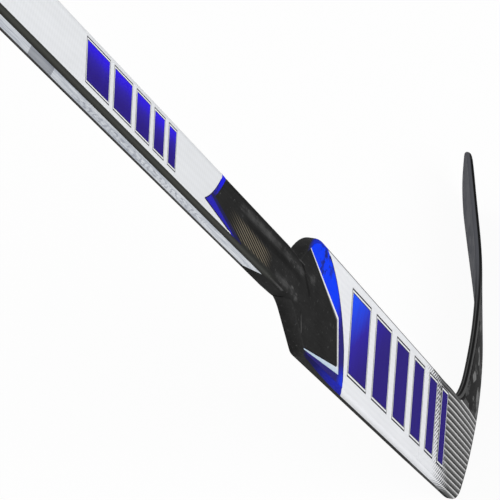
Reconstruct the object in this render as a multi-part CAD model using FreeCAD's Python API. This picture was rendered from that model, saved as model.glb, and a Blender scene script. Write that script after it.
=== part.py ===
import FreeCAD, Part
import math
import os

# Goalie stick standing in its playing position, in millimetres.
# Origin on the flat of the sole near the heel; +X runs along the sole to the toe,
# +Z is up, and the printed front face of the stick looks along -Y.

# Whole stick
LIE = 63.0                  # angle between the sole and the shaft, degrees
STICK_LENGTH = 1500.0       # heel corner to butt end, along the rear edge
HEEL_SETBACK = 60.0         # square heel corner to the origin, along the sole
GLUE = 0.1                  # bond line between pieces that are glued together
FILM = 0.2                  # thickness of the printed films

# Shaft
SHAFT_WIDTH = 34.4
SHAFT_THICK = 19.0
SHAFT_CORNER = 4.5
SHAFT_WALL = 1.9
CAP_HEIGHT = 5.0            # butt plug outside the tube
CAP_LIP = 0.4               # the plug stands this far out round the tube
PLUG_DEPTH = 40.0           # butt plug inside the tube
PLUG_WALL = 3.0

# Paddle
PADDLE_WIDTH = 89.0         # at the shoulder
HEEL_WIDTH = 86.0           # the toe-side edge runs in to this at the heel
PADDLE_THICK = 12.0
PADDLE_CORNER = 3.5         # rounding of the long edges
SHOULDER_HEIGHT = 637.0     # heel corner to the rear shoulder corner
TOE_SHOULDER_RISE = 5.0     # the toe-side shoulder starts this much higher
SHOULDER_FLARE = 20.5       # slope of the rear shoulder to the shaft, degrees
REAR_CORNER_RADIUS = 25.0
REAR_BLEND_RADIUS = 110.0
TOE_SHOULDER_RADIUS = 80.0
NECK_RADIUS = 6.0           # between the toe-side shoulder and the shaft
SEAM_HEIGHT = 200.0         # paddle panels end here and the blade moulding begins
SEAM_OVERRUN = 15.0         # shapes run on past the seam before they are cut off
RAIL_RISE = 8.0             # blunt upper ends of the rails above the top of the flare
RAIL_WIDTH = 5.5
PADDLE_SKIN = 1.0
RIB_THICK = 2.0

# Shaft joint
SLEEVE_LENGTH = 97.0
SLEEVE_DROP = 55.0          # the sleeve ends this far below the top of the flare
SLEEVE_FOOT = 24.0          # width of the sleeve where it runs out in the paddle
SLEEVE_SECTIONS = 8
TENON_ABOVE = 78.0          # tenon inside the shaft tube, above the sleeve
TENON_BELOW = 95.0          # tenon inside the paddle, below the sleeve
TENON_FOOT = 20.0           # width of the tenon inside the paddle
NECK_DROP = 10.0            # the tenon begins to flatten this far below the sleeve's top

# Blade
BLADE_LENGTH = 376.0
BLADE_HEIGHT = 83.0
HEEL_THICK = 7.5            # at the inner end of the blade
TOE_THICK = 6.0             # before the toe thins out
TIP_THICK = 1.6             # at the very end of the moulding
BOW_START = 15.0            # curve of the blade, measured along the sole
BOW_END = 260.0
BOW_ANGLE = 20.0            # degrees turned toward the back between these
FACE_OPENING = 8.0          # degrees the top edge leans to the front at the toe
INNER_FILLET = 50.0         # between the paddle and the top of the blade
HEEL_RADIUS = 36.0
TOE_TOP_RADIUS = 34.0
TOE_SOLE_RADIUS = 44.0
TOE_ROUNDING = 0.6 * TOE_THICK   # rounding of the toe's rim, more than half its thickness
BLADE_SKIN = 1.0
RIM = 4.5                   # laminate round the outline of the blade
STRIP_HEIGHT = 3.5          # edge strips along the sole and the top
STRIP_START = 105.0         # top strip begins past the inner fillet
SOLE_START = 45.0           # sole strip begins past the heel
STRIP_MARGIN = 46.0         # both strips end this far short of the toe
HEEL_BLOCK_END = 110.0
BLADE_RIB = 3.0
CORE_GLUE = 0.25            # bond line round the blade's core
LEAST_CORE = 0.2            # the core thins out to this past the toe

# Shared helpers

ORIGIN = FreeCAD.Vector(0, 0, 0)
ACROSS = FreeCAD.Vector(0, 1, 0)
SIN_LIE = math.sin(math.radians(LIE))
COS_LIE = math.cos(math.radians(LIE))
SHAFT_CENTRE = PADDLE_WIDTH / 2
SHAFT_REAR = SHAFT_CENTRE - SHAFT_WIDTH / 2
SHAFT_TOE = SHAFT_CENTRE + SHAFT_WIDTH / 2
FLARE = math.radians(SHOULDER_FLARE)
FLARE_TOP = SHOULDER_HEIGHT + SHAFT_REAR / math.tan(FLARE)
TOE_SHOULDER_HEIGHT = SHOULDER_HEIGHT + TOE_SHOULDER_RISE
SLEEVE_BOTTOM = FLARE_TOP - SLEEVE_DROP
SLEEVE_TOP = SLEEVE_BOTTOM + SLEEVE_LENGTH
RAIL_TOP = FLARE_TOP + RAIL_RISE
STRIP_END = BLADE_LENGTH - STRIP_MARGIN
FRONT = -1
BACK = 1
FAR = 2000.0                # beyond every piece
PAST = 1.0                  # how far a cut runs on past what it cuts
SAME = 0.01                 # places closer than this are one place


def vec(x, y, z):
    return FreeCAD.Vector(x, y, z)


def block(x, y, z):
    """Box from three (low, high) pairs."""
    return Part.makeBox(x[1] - x[0], y[1] - y[0], z[1] - z[0], vec(x[0], y[0], z[0]))


def outline(start, *steps):
    """Closed face in the plane of the stick.

    A step is a point, or the middle point and the end point of an arc.
    """
    here = vec(start[0], 0, start[1])
    edges = []
    for step in steps + (start,):
        if isinstance(step[0], tuple):
            middle, end = [vec(point[0], 0, point[1]) for point in step]
            edges.append(Part.Arc(here, middle, end).toShape())
        else:
            end = vec(step[0], 0, step[1])
            edges.append(Part.makeLine(here, end))
        here = end
    return Part.Face(Part.Wire(edges))


def thicken(face, low, high):
    """Solid between two depths of the stick, from a face in its plane."""
    moved = face.translated(vec(0, low, 0))
    return moved.extrude(vec(0, high - low, 0))


def rounded_section(width, thick, corner, height):
    """Wire of a rounded rectangle about the shaft's axis at one height."""
    half_w, half_t = width / 2, thick / 2
    bend = corner * (1 - math.sqrt(0.5))
    x0, x1 = SHAFT_CENTRE - half_w, SHAFT_CENTRE + half_w
    y0, y1 = -half_t, half_t
    corners = [
        ((x1, y0 + corner), (x1 - bend, y0 + bend), (x1 - corner, y0)),
        ((x0 + corner, y0), (x0 + bend, y0 + bend), (x0, y0 + corner)),
        ((x0, y1 - corner), (x0 + bend, y1 - bend), (x0 + corner, y1)),
        ((x1 - corner, y1), (x1 - bend, y1 - bend), (x1, y1 - corner)),
    ]
    edges = []
    for index, points in enumerate(corners):
        first, middle, last = [vec(x, y, height) for x, y in points]
        edges.append(Part.Arc(first, middle, last).toShape())
        following = corners[(index + 1) % 4][0]
        edges.append(Part.makeLine(last, vec(following[0], following[1], height)))
    return Part.Wire(edges)


def bar(width, thick, corner, low, high):
    """Straight rounded bar along the shaft's axis."""
    face = Part.Face(rounded_section(width, thick, corner, low))
    return face.extrude(vec(0, 0, high - low))


def ease(value):
    """Smooth step from 0 to 1."""
    t = min(max(value, 0.0), 1.0)
    return t * t * (3 - 2 * t)


def lean(shape):
    """Tip a piece from shaft upright to the lie of the stick."""
    tipped = shape.copy()
    tipped.rotate(ORIGIN, ACROSS, LIE - 90)
    return tipped


def only_solid(shape):
    """The largest solid of a cut."""
    return max(shape.Solids, key=lambda solid: solid.Volume)


# Shaft, upright: X toward the toe, Y toward the back, Z up the shaft from the heel corner

TUBE_TOP = STICK_LENGTH - CAP_HEIGHT
BORE_WIDTH = SHAFT_WIDTH - 2 * SHAFT_WALL
BORE_THICK = SHAFT_THICK - 2 * SHAFT_WALL
BORE_CORNER = SHAFT_CORNER - SHAFT_WALL


def shaft_bar(low, high, grow=0.0):
    return bar(SHAFT_WIDTH + 2 * grow, SHAFT_THICK + 2 * grow, SHAFT_CORNER + grow, low, high)


def bore_bar(low, high, shrink=0.0):
    return bar(BORE_WIDTH - 2 * shrink, BORE_THICK - 2 * shrink, BORE_CORNER - shrink, low, high)


def make_tube():
    return shaft_bar(SLEEVE_TOP + GLUE, TUBE_TOP).cut(bore_bar(SLEEVE_TOP - PAST, TUBE_TOP + PAST))


def make_plug():
    cap = shaft_bar(TUBE_TOP + GLUE, STICK_LENGTH, CAP_LIP)
    top_edges = [edge for edge in cap.Edges if edge.BoundBox.ZMin > STICK_LENGTH - SAME]
    cap = cap.makeFillet(CAP_HEIGHT / 2, top_edges)
    stem_low = TUBE_TOP - PLUG_DEPTH
    stem = bore_bar(stem_low, TUBE_TOP + PAST, GLUE)
    hollow = block(
        (SHAFT_CENTRE - BORE_WIDTH / 2 + PLUG_WALL, SHAFT_CENTRE + BORE_WIDTH / 2 - PLUG_WALL),
        (PLUG_WALL - BORE_THICK / 2, BORE_THICK / 2 - PLUG_WALL),
        (stem_low - PAST, TUBE_TOP - PLUG_WALL),
    )
    return cap.fuse(stem.cut(hollow)).removeSplitter()


# Printed films of the shaft: the wide faces end in a swept V, the narrow faces in a slant

V_POINT_OFFSET = (-8.9, 223.0)   # from the shaft's axis and the top of the sleeve
V_BEND_OFFSET = (0.5, 206.0)
V_TAIL_OFFSET = (-15.1, 138.0)
V_TOE_RISE = 191.0
BAND_WIDTH = 9.0            # blue band along the V at the toe side, measured up the shaft
BAND_TAIL = 25.5            # its width where it runs out at the rear corner
BAND_CORNER_OFFSET = (-2.0, 201.0)
BAND_BEND_OFFSET = (5.5, 192.0)
SLANT_FRONT_RISE = 38.0
SLANT_BACK_RISE = 63.0
FILM_MARGIN = 1.0           # films stop short of the butt end
FILM_WRAP = 1.9             # wide films run this far round the rear corner
FILM_TOP = TUBE_TOP - FILM_MARGIN
SLANT_FRONT = SLEEVE_TOP + SLANT_FRONT_RISE
SLANT_BACK = SLEEVE_TOP + SLANT_BACK_RISE


def on_shaft(offset, up=0.0):
    """Point of the shaft's print, moved a little from its offset."""
    return (SHAFT_CENTRE + offset[0], SLEEVE_TOP + offset[1] + up)


def film_ring(low, high):
    return shaft_bar(low, high, FILM).cut(shaft_bar(low - PAST, high + PAST))


def wide_film(face_outline, side):
    """Film over one wide face and its toe-side corner, cut to an outline."""
    flat_edge = SHAFT_THICK / 2 - SHAFT_CORNER
    depth = sorted((side * flat_edge, side * SHAFT_THICK))
    window = block((SHAFT_REAR + SHAFT_CORNER - FILM_WRAP, FAR), depth, (0, FAR))
    ring = film_ring(SLEEVE_TOP + GLUE, FILM_TOP)
    return only_solid(ring.common(window).common(thicken(face_outline, -SHAFT_THICK, SHAFT_THICK)))


V_POINT = on_shaft(V_POINT_OFFSET)
V_BEND = on_shaft(V_BEND_OFFSET)
V_TAIL = on_shaft(V_TAIL_OFFSET)
V_TOE = (SHAFT_TOE + PAST, SLEEVE_TOP + V_TOE_RISE)


def v_field():
    """Everything above the V."""
    return outline(V_TOE, (V_BEND, V_POINT), V_TAIL, (SHAFT_REAR, FAR), (V_TOE[0], FAR))


def v_band():
    """Blue band just below the V."""
    return outline(
        (V_TOE[0], V_TOE[1] - GLUE),
        (on_shaft(V_BEND_OFFSET, -GLUE), on_shaft(V_POINT_OFFSET, -GLUE)),
        on_shaft(V_TAIL_OFFSET, -GLUE),
        on_shaft(V_TAIL_OFFSET, -BAND_TAIL),
        on_shaft(BAND_CORNER_OFFSET),
        (on_shaft(BAND_BEND_OFFSET), (V_TOE[0], V_TOE[1] - BAND_WIDTH)),
    )


def narrow_film(side):
    """Film over one narrow face with a slanted lower end."""
    flat = SHAFT_THICK / 2 - SHAFT_CORNER
    face_x = SHAFT_CENTRE + side * SHAFT_WIDTH / 2
    low = min(face_x, face_x + side * FILM)
    corners = [(-flat, SLANT_FRONT), (flat, SLANT_BACK), (flat, FILM_TOP), (-flat, FILM_TOP)]
    points = [vec(low, y, z) for y, z in corners]
    face = Part.Face(Part.makePolygon(points + points[:1]))
    return face.extrude(vec(FILM, 0, 0))


# Shaft joint: a flattened tenon, and the moulded sleeve that runs the shaft out into the paddle

CAVITY_HALF = PADDLE_THICK / 2 - PADDLE_SKIN
TENON_WIDTH = BORE_WIDTH - 2 * GLUE
TENON_CORNER = BORE_CORNER - GLUE
TENON_TOP = SLEEVE_TOP + TENON_ABOVE
TENON_BOTTOM = SLEEVE_BOTTOM - TENON_BELOW


def tenon_solid(grow=0.0):
    upper = BORE_THICK - 2 * GLUE + 2 * grow
    lower = 2 * (CAVITY_HALF - GLUE) + 2 * grow
    shoulder = TENON_WIDTH + 2 * grow
    foot = TENON_FOOT + 2 * grow
    levels = [
        (TENON_TOP + grow, shoulder, upper),
        (SLEEVE_TOP - NECK_DROP, shoulder, upper),
        (SLEEVE_BOTTOM, foot, lower),
        (TENON_BOTTOM - grow, foot, lower),
    ]
    wires = [rounded_section(width, thick, TENON_CORNER, height) for height, width, thick in levels]
    return Part.makeLoft(wires, True, True)


def sleeve_solid(grow=0.0):
    wires = []
    for step in range(SLEEVE_SECTIONS + 1):
        share = step / SLEEVE_SECTIONS
        height = SLEEVE_TOP + grow - share * (SLEEVE_LENGTH + 2 * grow)
        narrowing = ease((RAIL_TOP - height) / (RAIL_TOP - SLEEVE_BOTTOM))
        thick = SHAFT_THICK + (PADDLE_THICK - SHAFT_THICK) * ease(share)
        width = SHAFT_WIDTH + (SLEEVE_FOOT - SHAFT_WIDTH) * narrowing
        wires.append(rounded_section(width + 2 * grow, thick + 2 * grow, SHAFT_CORNER, height))
    return Part.makeLoft(wires, True, False)


# Paddle, upright like the shaft

BACK_OF_PADDLE = PADDLE_THICK / 2
TOE_SLOPE = math.atan((PADDLE_WIDTH - HEEL_WIDTH) / TOE_SHOULDER_HEIGHT)
TOE_HUB = (
    PADDLE_WIDTH - TOE_SHOULDER_RADIUS * math.cos(TOE_SLOPE),
    TOE_SHOULDER_HEIGHT + TOE_SHOULDER_RADIUS * math.sin(TOE_SLOPE),
)
NECK_REACH = TOE_SHOULDER_RADIUS + NECK_RADIUS
NECK_ANGLE = math.acos((SHAFT_TOE + NECK_RADIUS - TOE_HUB[0]) / NECK_REACH)
NECK_HUB = (SHAFT_TOE + NECK_RADIUS, TOE_HUB[1] + NECK_REACH * math.sin(NECK_ANGLE))


def toe_edge(up):
    """Width of the paddle at one height."""
    return HEEL_WIDTH + (PADDLE_WIDTH - HEEL_WIDTH) * up / TOE_SHOULDER_HEIGHT


def paddle_outline():
    """Paddle and shoulders, run on below the seam and up into the sleeve."""
    low = SEAM_HEIGHT - SEAM_OVERRUN
    corner_run = REAR_CORNER_RADIUS * math.tan(FLARE / 2)
    blend_run = REAR_BLEND_RADIUS * math.tan(FLARE / 2)
    half = FLARE / 2

    def along(base, run):
        return (base[0] + run * math.sin(FLARE), base[1] + run * math.cos(FLARE))

    def arc_point(centre, radius, angle):
        return (centre[0] + radius * math.cos(angle), centre[1] + radius * math.sin(angle))

    corner_low = (0.0, SHOULDER_HEIGHT - corner_run)
    corner_mid = arc_point((REAR_CORNER_RADIUS, corner_low[1]), REAR_CORNER_RADIUS, math.pi - half)
    corner_high = along((0.0, SHOULDER_HEIGHT), corner_run)
    blend_low = along((SHAFT_REAR, FLARE_TOP), -blend_run)
    blend_high = (SHAFT_REAR, FLARE_TOP + blend_run)
    blend_mid = arc_point((SHAFT_REAR - REAR_BLEND_RADIUS, blend_high[1]), REAR_BLEND_RADIUS, -half)
    toe_mid = arc_point(TOE_HUB, TOE_SHOULDER_RADIUS, (NECK_ANGLE - TOE_SLOPE) / 2)
    toe_high = arc_point(TOE_HUB, TOE_SHOULDER_RADIUS, NECK_ANGLE)
    neck_mid = arc_point(NECK_HUB, NECK_RADIUS, math.pi + NECK_ANGLE / 2)
    top = SLEEVE_TOP - SHAFT_WIDTH / 2 - PAST
    return outline(
        (0.0, low),
        corner_low,
        (corner_mid, corner_high),
        blend_low,
        (blend_mid, blend_high),
        (SHAFT_REAR, top),
        ((SHAFT_CENTRE, top + SHAFT_WIDTH / 2), (SHAFT_TOE, top)),
        (SHAFT_TOE, NECK_HUB[1]),
        (neck_mid, toe_high),
        (toe_mid, (PADDLE_WIDTH, TOE_SHOULDER_HEIGHT)),
        (toe_edge(low), low),
    )


def above_seam(shape):
    return shape.common(block((-FAR, FAR), (-FAR, FAR), (SEAM_HEIGHT, FAR)))


def inset(face, distance):
    return Part.Face(face.OuterWire.makeOffset2D(-distance))


def make_paddle():
    """All glued pieces of the paddle."""
    full = paddle_outline()
    panel = inset(full, RAIL_WIDTH)
    filling = inset(full, RAIL_WIDTH + GLUE)
    slab = thicken(full, -BACK_OF_PADDLE, BACK_OF_PADDLE)
    rim = [
        edge for edge in slab.Edges
        if edge.BoundBox.YLength < SAME and edge.BoundBox.ZMax > SEAM_HEIGHT
    ]
    slab = slab.makeFillet(PADDLE_CORNER, rim)
    sleeve_room = sleeve_solid(GLUE)
    opening = thicken(panel, -FAR, FAR)
    rails = above_seam(slab.cut(opening)).cut(sleeve_room)
    rear = only_solid(rails.common(block((-FAR, SHAFT_CENTRE), (-FAR, FAR), (0, RAIL_TOP))))
    toe_top = NECK_HUB[1] - NECK_RADIUS / 2
    toe = only_solid(rails.common(block((SHAFT_CENTRE, FAR), (-FAR, FAR), (0, toe_top))))
    skin_room = above_seam(thicken(filling, -FAR, FAR)).cut(sleeve_room)

    def layer(low, high):
        return skin_room.common(block((-FAR, FAR), (low, high), (0, FAR)))

    inner = CAVITY_HALF - GLUE
    core = layer(-inner, inner)
    rib_rear = SHAFT_CENTRE - TENON_FOOT / 2 - GLUE - RIB_THICK
    rib_toe = SHAFT_CENTRE + TENON_FOOT / 2 + GLUE
    rib_top = SLEEVE_BOTTOM - 2 * GLUE

    def strip(low, high, top=FAR):
        return only_solid(core.common(block((low, high), (-FAR, FAR), (0, top))))

    middle = (rib_rear + RIB_THICK + GLUE, rib_toe - GLUE)
    return {
        "paddle_rail_rear": rear,
        "paddle_rail_toe": toe,
        "paddle_skin_front": only_solid(layer(-BACK_OF_PADDLE, -CAVITY_HALF)),
        "paddle_skin_back": only_solid(layer(CAVITY_HALF, BACK_OF_PADDLE)),
        "paddle_rib_rear": strip(rib_rear, rib_rear + RIB_THICK, rib_top),
        "paddle_rib_toe": strip(rib_toe, rib_toe + RIB_THICK, rib_top),
        "paddle_core_rear": strip(-FAR, rib_rear - GLUE),
        "paddle_core_toe": strip(rib_toe + RIB_THICK + GLUE, FAR),
        "paddle_core_middle": strip(middle[0], middle[1], TENON_BOTTOM - GLUE),
    }


# Printed films of the paddle

SWEEP_TOP_OFFSET = (44.5, -5.0)   # from the shaft's axis and the height of the rear shoulder corner
SWEEP_MID_OFFSET = (0.0, -101.0)
SWEEP_LOW_OFFSET = (-44.5, -134.0)
SWEEP_END_OFFSET = (44.5, 20.0)
STRIPE_TOP_OFFSET = (30.5, 41.0)
STRIPE_KNEE_OFFSET = (0.8, -74.0)
STRIPE_LOW_OFFSET = (-30.8, -101.5)
STRIPE_TIP = (0.6, -1.2)          # width of the pinstripe at its upper end, across and up
STRIPE_WIDTH = (3.2, -4.6)        # and at its knee
WEDGE_TIP_OFFSET = (-40.8, 29.0)
WEDGE_END_OFFSET = (-34.8, -111.5)


def on_shoulder(offset, across=0.0, up=0.0):
    """Point of the shoulder's print, moved a little from its offset."""
    return (SHAFT_CENTRE + offset[0] + across, SHOULDER_HEIGHT + offset[1] + up)


def paddle_film(face, side):
    """Film on one flat face of the paddle, from an outline."""
    low = BACK_OF_PADDLE if side == BACK else -BACK_OF_PADDLE - FILM
    flat = above_seam(thicken(inset(paddle_outline(), PADDLE_CORNER), -FAR, FAR))
    return only_solid(thicken(face, low, low + FILM).common(flat))


def field_outline():
    """Pale field from the sweep down to the seam."""
    low, middle, top = [on_shoulder(p) for p in (SWEEP_LOW_OFFSET, SWEEP_MID_OFFSET, SWEEP_TOP_OFFSET)]
    return outline((low[0], 0.0), low, (middle, top), (top[0], 0.0))


def sweep_outline():
    """Blue sweep between the pinstripe and the pale field."""
    tip = on_shoulder(WEDGE_TIP_OFFSET, -GLUE)
    return outline(
        on_shoulder(SWEEP_TOP_OFFSET, up=GLUE),
        (on_shoulder(SWEEP_MID_OFFSET, up=GLUE), on_shoulder(SWEEP_LOW_OFFSET, up=GLUE)),
        (SHAFT_CENTRE + SWEEP_LOW_OFFSET[0], tip[1]),
        tip,
        on_shoulder(WEDGE_END_OFFSET, -GLUE, -GLUE),
        on_shoulder(STRIPE_KNEE_OFFSET, STRIPE_WIDTH[0] + GLUE, STRIPE_WIDTH[1]),
        on_shoulder(STRIPE_TOP_OFFSET, STRIPE_TIP[0] + GLUE, STRIPE_TIP[1]),
        on_shoulder(SWEEP_END_OFFSET),
    )


def stripe_outline():
    """Pinstripe and the long wedge that it turns back into."""
    return outline(
        on_shoulder(STRIPE_TOP_OFFSET),
        on_shoulder(STRIPE_KNEE_OFFSET),
        on_shoulder(STRIPE_LOW_OFFSET),
        on_shoulder(WEDGE_TIP_OFFSET),
        on_shoulder(WEDGE_END_OFFSET),
        on_shoulder(STRIPE_KNEE_OFFSET, STRIPE_WIDTH[0], STRIPE_WIDTH[1]),
        on_shoulder(STRIPE_TOP_OFFSET, STRIPE_TIP[0], STRIPE_TIP[1]),
    )


# Heel and blade, in the playing position with X measured from the square heel corner

SOLE_TRIM = 4.0             # moulding run on below the sole before it is cut flat
TOE_OVERRUN = 10.0          # moulding run on past the toe before it is cut round
EDGE_ROUNDING = 0.3         # rounding of the moulding's edges as a share of its thickness
PADDLE_SECTIONS = 4         # sections of the moulding from the seam to the heel
HEEL_SECTIONS = 6           # round the heel
BLADE_SECTIONS = 8          # from the heel to the toe
RIM_SECTIONS = 6            # sections of the rounding over each quarter turn of the toe
ROUND_TO_TOP = 75.0         # past this turn toward the top the rounding runs out, degrees
ROUND_TO_SOLE = 50.0        # and past this turn toward the sole
RIM_SPARE = 0.4             # the toe is cut this much too long before its rim is rounded
RIM_CLEAR = 4.0             # reach of the cut outside the rim


def from_paddle(across, up):
    """Point of the upright paddle in the playing position."""
    return vec(across * SIN_LIE - up * COS_LIE, 0, across * COS_LIE + up * SIN_LIE)


def bow(along):
    """Depth of the blade's curve toward the back."""
    turn = math.radians(BOW_ANGLE)
    radius = (BOW_END - BOW_START) / math.sin(turn)
    if along <= BOW_START:
        return 0.0
    if along <= BOW_END:
        return radius - math.sqrt(radius ** 2 - (along - BOW_START) ** 2)
    return radius * (1 - math.cos(turn)) + (along - BOW_END) * math.tan(turn)


def opening(along):
    """Angle by which the top edge leans to the front."""
    share = max(along - BOW_START, 0.0) / (BLADE_LENGTH - BOW_START)
    return math.radians(FACE_OPENING * share)


def bowed(point):
    """Point moved onto the curved and opened middle surface of the blade."""
    return vec(point.x, bow(point.x) - point.z * math.tan(opening(point.x)), point.z)


def fillet_hub():
    """Centre of the inner fillet between the paddle and the top of the blade."""
    height = BLADE_HEIGHT + INNER_FILLET
    return vec((HEEL_WIDTH + INNER_FILLET - height * COS_LIE) / SIN_LIE, 0, height)


def heel_reach(hub, ray):
    """Where a ray from the hub meets the rear edge, the heel or the trim line below the sole."""
    corner = vec(SOLE_TRIM * COS_LIE / SIN_LIE, 0, -SOLE_TRIM)
    rearward = from_paddle(-1, 0)
    to_rear = -hub.dot(rearward) / ray.dot(rearward)
    to_sole = (corner.z - hub.z) / ray.z
    hit = hub + ray * min(step for step in (to_rear, to_sole) if step > 0)
    run = HEEL_RADIUS * math.tan(math.radians(LIE / 2))
    if hit.distanceToPoint(corner) >= run:
        return hit
    offset = hub - corner - vec(run, 0, HEEL_RADIUS)
    middle = offset.dot(ray)
    return hub + ray * (math.sqrt(middle ** 2 - offset.dot(offset) + HEEL_RADIUS ** 2) - middle)


def blade_stations():
    """Inner point, outer point and thickness of each section, from the seam round to the toe."""
    hub = fillet_hub()
    hub_up = hub.z * SIN_LIE - hub.x * COS_LIE
    levels = [SEAM_HEIGHT + SEAM_OVERRUN]
    for step in range(PADDLE_SECTIONS):
        levels.append(SEAM_HEIGHT + (hub_up - SEAM_HEIGHT) * step / PADDLE_SECTIONS)
    pairs = [(from_paddle(toe_edge(up), up), from_paddle(0, up)) for up in levels]
    for step in range(HEEL_SECTIONS + 1):
        angle = math.radians(90 - LIE + LIE * step / HEEL_SECTIONS)
        ray = vec(-math.cos(angle), 0, -math.sin(angle))
        pairs.append((hub + ray * INNER_FILLET, heel_reach(hub, ray)))
    stations = []
    for index, (inner, outer) in enumerate(pairs):
        share = max(index - 1, 0) / (PADDLE_SECTIONS + HEEL_SECTIONS)
        stations.append((inner, outer, PADDLE_THICK + (HEEL_THICK - PADDLE_THICK) * share))
    end = BLADE_LENGTH + TOE_OVERRUN
    for step in range(1, BLADE_SECTIONS + 1):
        share = step / BLADE_SECTIONS
        along = hub.x + (end - hub.x) * share
        thick = HEEL_THICK + (TOE_THICK - HEEL_THICK) * share
        if step == BLADE_SECTIONS:
            thick = TIP_THICK
        stations.append((vec(along, 0, BLADE_HEIGHT), vec(along, 0, -SOLE_TRIM), thick))
    return stations


def blade_loft(section):
    """Solid through one section wire at every station."""
    wires = []
    for inner, outer, thick in blade_stations():
        start, end = bowed(inner), bowed(outer)
        length = start.distanceToPoint(end)
        down = (end - start) / length
        back = ACROSS - down * ACROSS.dot(down)
        back.normalize()

        def place(run, depth):
            return start + down * run + back * depth

        wires.append(section(place, length, thick))
    return Part.makeLoft(wires, True, False)


def half_moulding(side):
    """Front or back half of the moulding, split at its middle surface."""
    def section(place, length, thick):
        corner = thick * EDGE_ROUNDING
        bend = corner * (1 - math.sqrt(0.5))
        face, mid = side * thick / 2, side * GLUE / 2
        inner = side * corner
        points = [place(0, mid), place(length, mid), place(length, face - inner)]
        foot = place(length - corner, face)
        top = place(corner, face)
        root = place(0, face - inner)
        edges = [Part.makeLine(points[0], points[1]), Part.makeLine(points[1], points[2])]
        edges.append(Part.Arc(points[2], place(length - bend, face - side * bend), foot).toShape())
        edges.append(Part.makeLine(foot, top))
        edges.append(Part.Arc(top, place(bend, face - side * bend), root).toShape())
        edges.append(Part.makeLine(root, points[0]))
        return Part.Wire(edges)
    return blade_loft(section)


def full_moulding():
    """The whole moulding with both edges rounded."""
    def section(place, length, thick):
        corner = thick * EDGE_ROUNDING
        bend = corner * (1 - math.sqrt(0.5))
        half = thick / 2
        turns = [
            ((length, half - corner), (length - bend, half - bend), (length - corner, half)),
            ((corner, half), (bend, half - bend), (0, half - corner)),
            ((0, corner - half), (bend, bend - half), (corner, -half)),
            ((length - corner, -half), (length - bend, bend - half), (length, corner - half)),
        ]
        edges = []
        for index, points in enumerate(turns):
            first, middle, last = [place(run, depth) for run, depth in points]
            edges.append(Part.Arc(first, middle, last).toShape())
            edges.append(Part.makeLine(last, place(*turns[(index + 1) % 4][0])))
        return Part.Wire(edges)
    return blade_loft(section)


def flat_moulding(low, high, rim):
    """Plain moulding between two depths, each given by a function of the thickness."""
    def section(place, length, thick):
        near, far = low(thick), high(thick)
        end = length - rim(thick)
        begin = rim(thick)
        points = [place(begin, near), place(end, near), place(end, far), place(begin, far)]
        return Part.makePolygon(points + points[:1])
    return blade_loft(section)


def hollow(skin, rim):
    """Room between the two skins, which closes up where the toe thins out."""
    def half(thick):
        return max(thick / 2 - skin, LEAST_CORE / 2)

    return flat_moulding(lambda thick: -half(thick), half, lambda thick: rim)


def envelope(inward=0.0, spare=0.0):
    """Space kept by the seam, the sole cut and the rounded toe."""
    end = BLADE_LENGTH - inward + spare
    top = BLADE_HEIGHT + PAST - inward + spare
    toe = block((STRIP_START - PAST, end), (-FAR, FAR), (inward, top))
    toe = toe.makeFillet(TOE_SOLE_RADIUS - inward, edges_at(toe, end, inward))
    toe = toe.makeFillet(TOE_TOP_RADIUS - inward, edges_at(toe, end, top))
    root = block((-FAR, STRIP_START), (-FAR, FAR), (inward, FAR))
    below_seam = lean(block((-FAR, FAR), (-FAR, FAR), (-FAR, SEAM_HEIGHT - GLUE)))
    return root.common(below_seam).fuse(toe)


def toe_rim():
    """Outward angle, arc centre and arc radius at places round the toe, from the top to the sole."""
    top = vec(BLADE_LENGTH - TOE_TOP_RADIUS, 0, BLADE_HEIGHT + PAST - TOE_TOP_RADIUS)
    sole = vec(BLADE_LENGTH - TOE_SOLE_RADIUS, 0, TOE_SOLE_RADIUS)
    turns = [90 * step / RIM_SECTIONS for step in range(RIM_SECTIONS + 1)]
    above = [(90 - turn, top, TOE_TOP_RADIUS) for turn in turns]
    below = [(-turn, sole, TOE_SOLE_RADIUS) for turn in turns]
    return above + below


def rim_waste(side):
    """What is taken off one side of the toe to leave its rim rounded."""
    wires = []
    for angle, hub, radius in toe_rim():
        full_turn = ROUND_TO_TOP if angle > 0 else ROUND_TO_SOLE
        run_out = TOE_ROUNDING * max(abs(angle) - full_turn, 0.0) / (90 - full_turn)
        along = math.cos(math.radians(angle))
        upward = math.sin(math.radians(angle))

        def place(inward, depth):
            reach = radius + run_out - inward
            middle = bowed(vec(hub.x + reach * along, 0, hub.z + reach * upward))
            tilt = opening(middle.x)
            return middle + vec(0, math.cos(tilt), math.sin(tilt)) * side * depth

        def on_arc(turn):
            turn = math.radians(turn)
            return place(TOE_ROUNDING * (1 - math.cos(turn)), TOE_ROUNDING * math.sin(turn))

        start, middle, end = on_arc(0), on_arc(45), on_arc(90)
        edges = [Part.Arc(start, middle, end).toShape()]
        rest = [end, place(-RIM_CLEAR, TOE_ROUNDING), place(-RIM_CLEAR, -PAST), place(0, -PAST), start]
        for first, last in zip(rest, rest[1:]):
            edges.append(Part.makeLine(first, last))
        wires.append(Part.Wire(edges))
    return Part.makeLoft(wires, True, False)


def edges_at(shape, x, z):
    """Edges across the stick at one place along and up the blade."""
    found = []
    for edge in shape.Edges:
        middle = edge.BoundBox.Center
        if abs(middle.x - x) < SAME and abs(middle.z - z) < SAME:
            found.append(edge)
    return found


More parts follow.
